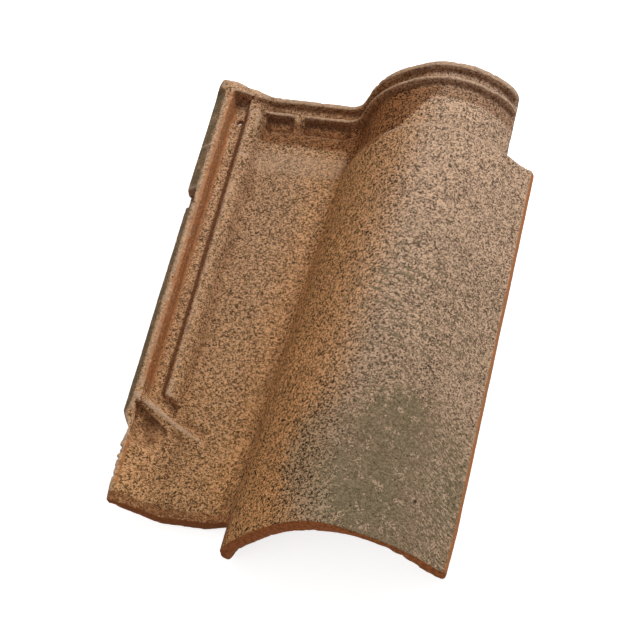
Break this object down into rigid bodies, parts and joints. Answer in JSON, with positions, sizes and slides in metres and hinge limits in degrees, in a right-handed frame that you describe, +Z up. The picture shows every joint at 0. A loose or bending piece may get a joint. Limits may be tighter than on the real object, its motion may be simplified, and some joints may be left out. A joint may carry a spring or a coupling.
{
  "type": "clay roof tile",
  "caption": "Interlocking clay roof tile with a flat pan, a raised side roll, a side water lock, head ribs, a nail hole and batten nibs.",
  "frame": {"origin": "centre of the underside of the bounding box, on the floor the tile lies on", "axes": "+Y runs along the tile from its foot, the lower end on the roof, to its head; +X runs from the side lock to the roll; +Z up. The tile lies as it rests unheld on a level floor, so its pan leans about 11 degrees about Y and about 2.5 degrees about X."},
  "size_m": [0.2458, 0.373, 0.0821],
  "materials": {
    "clay": "sanded rustic surface in pinkish tan with smoky brown patches, bare orange-brown clay at the edges"
  },
  "bodies": {
    "root": {"tile_body": "clay"}
  },
  "joints": []
}
